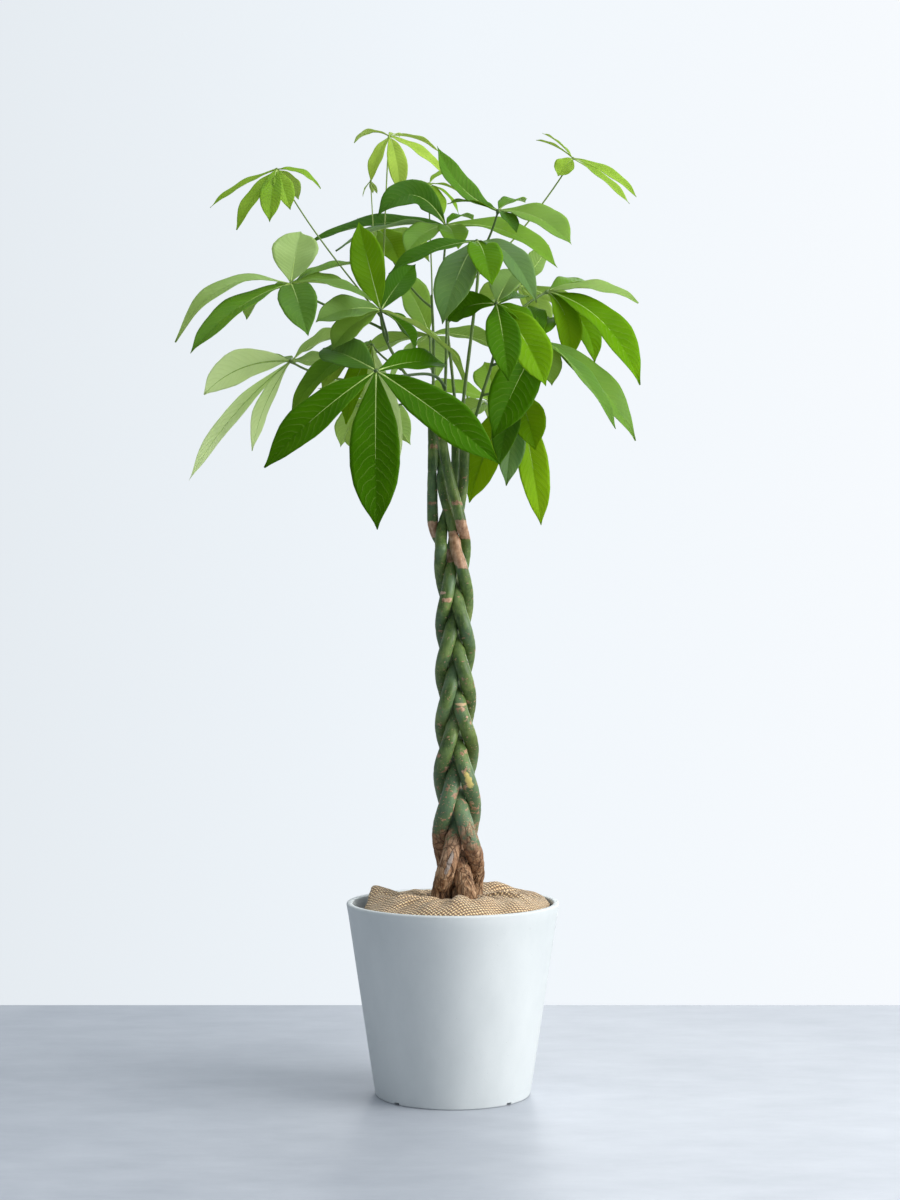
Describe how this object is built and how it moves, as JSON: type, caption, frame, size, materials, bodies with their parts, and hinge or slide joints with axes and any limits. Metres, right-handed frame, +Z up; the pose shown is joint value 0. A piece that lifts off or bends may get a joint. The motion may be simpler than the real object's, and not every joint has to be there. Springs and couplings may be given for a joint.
{
  "type": "potted money tree",
  "caption": "Braided-trunk money tree with hand-shaped leaves, standing in soil under burlap in a tapered matte grey pot.",
  "frame": {"origin": "centre of the pot's underside", "axes": "+Z up, along the braid; -Y is the front of the plant; +X is its right side seen from the front"},
  "size_m": [0.6305, 0.589, 1.3638],
  "materials": {
    "pot": "matte, stone look, faintly mottled",
    "soil": "loose dark potting mix",
    "burlap": "coarse plain-woven jute",
    "bark": "smooth green bark, brown and rough at the foot",
    "shoot": "smooth green stem",
    "leaf": "satin leaf, paler beneath",
    "young_leaf": "satin young leaf"
  },
  "bodies": {
    "root": {"pot": "pot", "soil": "soil", "burlap": "burlap", "trunk_1": "bark", "trunk_2": "bark", "trunk_3": "bark", "trunk_4": "bark", "trunk_5": "bark", "shoot_1": "shoot", "shoot_2": "shoot", "shoot_3": "shoot", "shoot_4": "shoot", "shoot_5": "shoot", "shoot_6": "shoot", "leaf_01": "young_leaf", "leaf_02": "young_leaf", "leaf_03": "young_leaf", "leaf_04": "leaf", "leaf_05": "young_leaf", "leaf_06": "leaf", "leaf_07": "leaf", "leaf_08": "young_leaf", "leaf_09": "leaf", "leaf_10": "leaf", "leaf_11": "leaf", "leaf_12": "leaf", "leaf_13": "leaf", "leaf_14": "leaf", "leaf_15": "leaf", "leaf_16": "leaf", "leaf_17": "leaf", "leaf_18": "leaf", "leaf_19": "leaf", "leaf_20": "leaf", "leaf_21": "leaf", "leaf_22": "leaf"}
  },
  "joints": []
}
